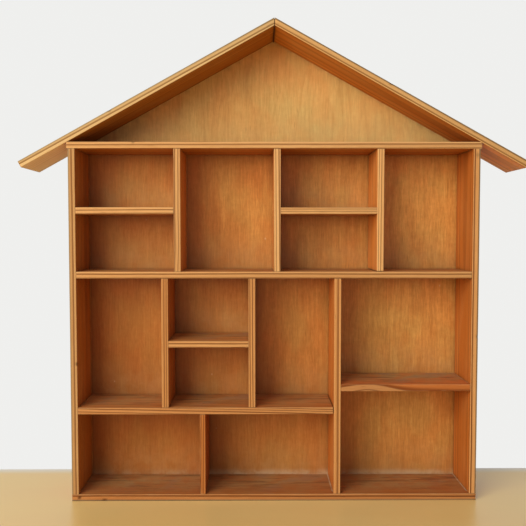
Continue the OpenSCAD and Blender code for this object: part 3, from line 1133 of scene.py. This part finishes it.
def ply_face(tree, place, veneer, canals):
    """The varnished face, with painted light: brighter and yellower to the right, higher up and in
    the gable.
    """
    across, _, height = axes(place)
    rightward = calc("DIVIDE", calc("SUBTRACT", across, panel_low.x), panel_high.x * 2)
    upward = calc("DIVIDE", height, panel_high.z)
    # Painted light: the gable is paler and yellower, most of all to the right, away from the roof's
    # shade.
    gable_painted_light = times(ease(height, GABLE_FROM, GABLE_FROM + BOARD_THICK),
                  ease(rightward, 0.2, 0.8, 0.36, 0.8))
    # Painted light and shade: dim and red to the lower left, bright and yellow to the upper right.
    painted_light = calc("ADD", times(rightward, 0.8),
                  calc("MULTIPLY_ADD", upward, 0.75, -0.27), clamp=True)
    colour = blend(painted_light, PLY_PAINTED_DIM, PLY_PAINTED_BRIGHT)
    colour = blend(gable_painted_light, colour, PLY_GABLE_LIT)
    colour = blend(veneer["figure"], colour, PLY_DARK)
    patch = ease(streaky(place, (22, 22, 13)), 0.35, 0.65)
    colour = tint(1.0, colour, blend(patch, PLY_ROSY, PLY_YELLOW))
    # Painted shade: a redder, darker tint where the lamp's shadow falls.
    colour = tint(attribute(tree, "shelter"), colour, PLY_PAINTED_SHADE)
    # The veneer's figure is calmer in the gable's painted light and in the dim painted shade.
    calm = calc("MAXIMUM", times(gable_painted_light, 0.7), ease(painted_light, 0.1, 0.7, 0.3, 0.0))
    colour = shaded(colour, between(calm, veneer["tone"], 1.0))
    chips = times(ease(to_dot(place, (42, 0, 30)), 0.02, 0.07, 1.0, 0.0),
                  ease(speckle(place, 24.0, 0.0), 0.56, 0.62))
    colour = blend(times(canals, 0.35), colour, PLY_RESIN)
    return blend(times(chips, 0.6), colour, PLY_CHIP), rightward


print("the gable begins", round(GABLE_FROM / MM), "mm up")

# %% Marks and painted shade on the sheet
PANEL_DUST_AND_LIGHT = (0.62, 0.37, 0.145, 1)
PANEL_SHADE_PATINA = (0.155, 0.042, 0.009, 1)
PANEL_DIRT = (0.1, 0.035, 0.012, 1)
SWEPT_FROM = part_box("bottom_board")[1].z
SWEPT_TO = SWEPT_FROM + 11 * MM


def ply_marks_and_shade(tree, place, rightward, colour):
    """Dust and painted light, painted shade patina and dirt along the boards, and a pale swept line.
    """
    cloud = speckle(place, 45.0, 4.0, 0.65)
    # Dust and painted light: the sheet is paler and greyer low in each compartment.
    dust = times(attribute(tree, "settled"), ease(cloud, 0.3, 0.7, 0.1, 0.4))
    # Painted shade: a dark red patina beside and under each board, where the lamp's shadow falls.
    patina = times(attribute(tree, "patina"), 0.62)
    dirt = times(attribute(tree, "nook"), ease(cloud, 0.3, 0.7, 0.1, 0.38))
    swept = times(ease(axes(place)[2], SWEPT_FROM, SWEPT_TO, 0.55, 0.0),
                  ease(cloud, 0.35, 0.6, 0.3, 1.0),
                  ease(rightward, 0.15, 0.5, 0.35, 1.0))
    for mask, over in ((dust, PANEL_DUST_AND_LIGHT), (patina, PANEL_SHADE_PATINA), (dirt, PANEL_DIRT),
                       (swept, CORNER_DUST)):
        colour = blend(mask, colour, over)
    return colour


print("dust is swept up to", round(SWEPT_TO / MM), "mm")

# %% [markdown]
# ## The sheet's back and its three plies
# Nobody varnishes the back of a bookcase, so it is bare grey-brown veneer. Seen from the side
# the sheet is two thin faces with upright grain and a dark core between them, whose fibres run
# from side to side. All of it is one material, told apart by how far back a point lies.

# %% The plywood's finish
PLY_BARE = (0.66, 0.43, 0.22, 1)
PLY_BARE_DARK = (0.5, 0.28, 0.12, 1)
PLY_CORE = (0.3, 0.13, 0.05, 1)
CORE_FROM, CORE_TO = 0.9 * MM, 1.1 * MM
BACK_FROM, BACK_TO = 0.5 * MM, 0.2 * MM


def plywood_material():
    material, tree, shader = new_material("back_plywood")
    place = object_place(tree)
    veneer = place_group("peeled veneer", vector=place, seed=4.0, figure=0.14)
    fibres = place_group("wood fibres", vector=place, seed=9.0)
    colour, rightward = ply_face(tree, place, veneer, fibres["canals"])
    colour = ply_marks_and_shade(tree, place, rightward, colour)

    depth = axes(place)[1]
    behind = ease(depth, panel_high.y - BACK_FROM, panel_high.y - BACK_TO)
    bare = shaded(PLY_BARE, veneer["tone"])
    bare = blend(times(veneer["figure"], 0.7), bare, PLY_BARE_DARK)
    colour = blend(behind, colour, bare)
    middle = (panel_low.y + panel_high.y) / 2
    from_core = calc("ABSOLUTE", calc("SUBTRACT", depth, middle))
    core = ease(from_core, CORE_FROM, CORE_TO, 1.0, 0.0)
    rough = calc("ADD", ease(fibres["fine"], 0.2, 0.8, 0.4, 0.52), times(behind, 0.25), clamp=True)
    fill_in(shader, {
        "Specular IOR Level": 0.3, "Coat Weight": 0.06, "Coat Roughness": 0.3, "Roughness": rough,
        "Base Color": blend(times(core, 0.7), colour, PLY_CORE),
        "Normal": relief(veneer["height"])})
    return material


print("plywood finish ready")

# %% Loops across the sheet
SHEET_STEP = 9 * MM
SHEET_MARGIN = 1.5 * MM
LEAST_SHEET_GAP = 0.9 * MM
uprights = [b for b in boards.values() if b.turn == 0]
levels = [b for b in boards.values() if b.turn == QUARTER]


def sheet_loops(axis, group):
    """Places beside both faces of each board, with regular ones between."""
    low, high = panel_low[axis], panel_high[axis]
    places = [b.centre[axis] + side * (b.half.x + step)
              for b in group for side in (-1, 1) for step in NOOK_LOOPS]
    places += [low + SHEET_STEP * i for i in range(1, int((high - low) / SHEET_STEP))]
    kept = []
    for place in sorted(places):
        inside = low + SHEET_MARGIN < place < high - SHEET_MARGIN
        if inside and (not kept or place - kept[-1] > LEAST_SHEET_GAP):
            kept.append(place)
    return kept


print(len(uprights), "uprights and", len(levels), "level boards stand against the sheet")

# %% The plywood sheet
PIN_PROUD = 0.1 * MM
PANEL_NOOK = 3.5 * MM
# How far and how strongly the painted shade patina reaches on each side of a board.
SHADE_PATINA_REACH = 26 * MM
SHADE_PATINA_SIDES = ((uprights, 1, 0.95), (levels, -1, 0.7), (uprights, -1, 0.35), (levels, 1, 0.3))
PAINTED_SHADE_REACH = 65 * MM
PEAK_SHADE_REACH = 95 * MM
PEAK_SHADE = 1.6
DUST_AND_LIGHT_RISE = 60 * MM


def nearness(group, point, side, reach):
    """1 against these boards' faces on one side of them, fading to 0 at the reach."""
    near = [0]
    for board in group:
        own = board.own(point)
        away = side * own.x - board.half.x
        if away > 0 and abs(own.z) < board.half.z:
            near.append(1 - away / reach)
    return max(near)


def record_marks_and_shade(bm, faces_back_from):
    """Records dirt, painted shade, dust and painted light on the front; sets the back in a little."""
    layers = bm.verts.layers.float
    nook, patina, settled, shelter = map(layers.new, ("nook", "patina", "settled", "shelter"))
    for vert in bm.verts:
        if vert.co.y > faces_back_from:
            vert.co.y -= PIN_PROUD
            continue
        vert[nook] = max(0, 1 - min(b.gap(vert.co) for b in boards.values()) / PANEL_NOOK) ** 2
        # Painted shade patina: strongest to the right of an upright and under a shelf, in the lamp's
        # shadow.
        vert[patina] = max(weight * nearness(group, vert.co, side, SHADE_PATINA_REACH) ** 2
                           for group, side, weight in SHADE_PATINA_SIDES)
        # Dust and painted light: 1 just above a shelf, fading out higher up.
        vert[settled] = nearness(levels, vert.co, 1, DUST_AND_LIGHT_RISE)
        # Painted shade: 1 in the peak of the gable, right of an upright and under a shelf, fading
        # away.
        in_peak_shade = PEAK_SHADE - (panel_high.z - vert.co.z) / PEAK_SHADE_REACH
        vert[shelter] = min(1, max(in_peak_shade, nearness(uprights, vert.co, 1, PAINTED_SHADE_REACH),
                                   nearness(levels, vert.co, -1, PAINTED_SHADE_REACH)))


def make_back():
    """The house shaped sheet. Its back lies a little inside the true one, so the pins stand proud."""
    bm = block(panel_low, panel_high)
    for side in (-1, 1):
        saw(bm, Vector((0, 0, panel_high.z)),
            Vector((side * math.sin(ROOF_PITCH), 0, math.cos(ROOF_PITCH))), off=True)
    bevel(bm, [e for e in bm.edges if e.calc_face_angle() > CORNER_ANGLE
               and abs((e.verts[1].co - e.verts[0].co).y) < MM], END_EDGE_RADIUS, 2)
    cut_loops(bm, 0, sheet_loops(0, uprights))
    cut_loops(bm, 2, sheet_loops(2, levels))
    record_marks_and_shade(bm, (panel_low.y + panel_high.y) / 2)
    for face in bm.faces:
        face.smooth = True
    return finish_piece(bm, "plywood_back", plywood_material(), ["back_panel"])


back = make_back()
print(back.name, "has", len(back.data.polygons), "faces")

# %% [markdown]
# ## Nails and pins
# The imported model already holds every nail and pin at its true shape, so these stay and only get
# a material: drawn steel wire, bright where it was hammered and dull brown where air has been at
# it.

# %% Steel
BRIGHT_STEEL = (0.55, 0.54, 0.52, 1)
RUST = (0.24, 0.12, 0.06, 1)


def steel_material():
    material, tree, shader = new_material("drawn_steel")
    blotch = speckle(object_place(tree), 900.0, 3.0)
    fill_in(shader, {
        "Metallic": 1.0, "Roughness": ease(blotch, 0.4, 0.75, 0.32, 0.8),
        "Base Color": blend(ease(blotch, 0.5, 0.72), BRIGHT_STEEL, RUST),
        "Normal": relief(blotch, 0.3, 0.1 * MM)})
    return material


steel = steel_material()
wires = [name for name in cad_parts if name.endswith(("_nails", "_pins"))]
for name in wires:
    for slot in bpy.data.objects[name].material_slots:
        slot.material = steel
print("steel on", len(wires), "rows of nails and pins")

# %% [markdown]
# ## Where it stands
# A plain pale board for a floor, which ends a little behind the bookcase as the table in the
# photograph does. Everything beyond it is the world, which looks white to the camera and in
# reflections, and gives a soft even light.

# %% The floor
FLOOR_REACH = 1500 * MM
FLOOR_BEHIND = 90 * MM
FLOOR_FADE = 25 * MM
FLOOR_DARK = (0.98, 0.67, 0.24, 1)
FLOOR_LIGHT = (1.0, 0.72, 0.28, 1)
FLOOR_EDGE = (0.95, 0.88, 0.72, 1)


def floor_material():
    material, tree, shader = new_material("pale_floor")
    place = object_place(tree)
    cloud = streaky(place, (1.2, 9, 1), roughness=0.5)
    colour = blend(ease(cloud, 0.3, 0.7), FLOOR_DARK, FLOOR_LIGHT)
    at_back = ease(axes(place)[1], FLOOR_BEHIND - FLOOR_FADE, FLOOR_BEHIND)
    fill_in(shader, {
        "Coat Weight": 0.25, "Coat Roughness": 0.3,
        "Base Color": blend(at_back, colour, FLOOR_EDGE),
        "Roughness": ease(cloud, 0.3, 0.7, 0.3, 0.4)})
    return material


def make_floor():
    bm = bmesh.new()
    bmesh.ops.create_grid(bm, x_segments=4, y_segments=4, size=1)
    bmesh.ops.scale(bm, vec=(FLOOR_REACH, (FLOOR_REACH + FLOOR_BEHIND) / 2, 1), verts=bm.verts)
    bmesh.ops.translate(bm, vec=(0, (FLOOR_BEHIND - FLOOR_REACH) / 2, 0), verts=bm.verts)
    floor = from_bmesh(bm, "floor", floor_material())


make_floor()
print("floor ends", round(FLOOR_BEHIND / MM), "mm behind the middle of the case")

# %% [markdown]
# ## The light
# One large soft lamp on the left stands for the window, and the world fills the shadows. The
# lamp is hidden from reflections, because its mirror image would burn a white patch into the
# floor when the bookcase is seen from behind.

# %% The light
FILL_STRENGTH = 0.285
FILL_COLOUR = (1, 0.985, 0.96, 1)
BACKGROUND = (0.865, 0.865, 0.85, 1)
KEY_WATTS = 42
KEY_SIZE = 1.6
KEY_COLOUR = (1, 0.97, 0.92)
KEY_DISTANCE = 2.3
KEY_TO_LEFT = math.radians(38)
KEY_HEIGHT = math.radians(20)
KEY_TARGET = Vector((0, 0, 0.35))
KEY_PLACE = KEY_TARGET + KEY_DISTANCE * Vector((
    -math.sin(KEY_TO_LEFT) * math.cos(KEY_HEIGHT),
    -math.cos(KEY_TO_LEFT) * math.cos(KEY_HEIGHT), math.sin(KEY_HEIGHT)))


def light_world():
    """A soft fill for the bookcase, behind a backdrop that only the camera and gloss can see."""
    world = bpy.data.worlds.new("studio")
    bpy.context.scene.world = world
    world.use_nodes = True
    tree = world.node_tree
    fill = tree.nodes["Background"]
    fill_in(fill.inputs, {"Color": FILL_COLOUR, "Strength": FILL_STRENGTH})
    seen = tree.nodes.new("ShaderNodeBackground")
    fill_in(seen.inputs, {"Color": BACKGROUND, "Strength": 1.0})
    path = tree.nodes.new("ShaderNodeLightPath").outputs
    sharp = calc("MAXIMUM", path["Is Camera Ray"],
                 calc("MAXIMUM", path["Is Glossy Ray"], path["Is Transmission Ray"]))
    mix = add("ShaderNodeMixShader", {0: sharp, 1: fill.outputs[0], 2: seen.outputs[0]})
    tree.links.new(mix.outputs[0], tree.nodes["World Output"].inputs["Surface"])


def add_window():
    """The soft lamp, turned towards the middle of the bookcase."""
    lamp = bpy.data.lights.new("window", "AREA")
    lamp.energy = KEY_WATTS
    lamp.shape = "SQUARE"
    lamp.size = KEY_SIZE
    lamp.color = KEY_COLOUR
    holder = put_in_scene("window", lamp)
    holder.location = KEY_PLACE
    holder.visible_glossy = False
    holder.rotation_euler = (KEY_TARGET - KEY_PLACE).to_track_quat("-Z", "Y").to_euler()


light_world()
add_window()
bpy.context.scene.view_settings.view_transform = "Standard"
print("lit by the world and one soft window on the left")
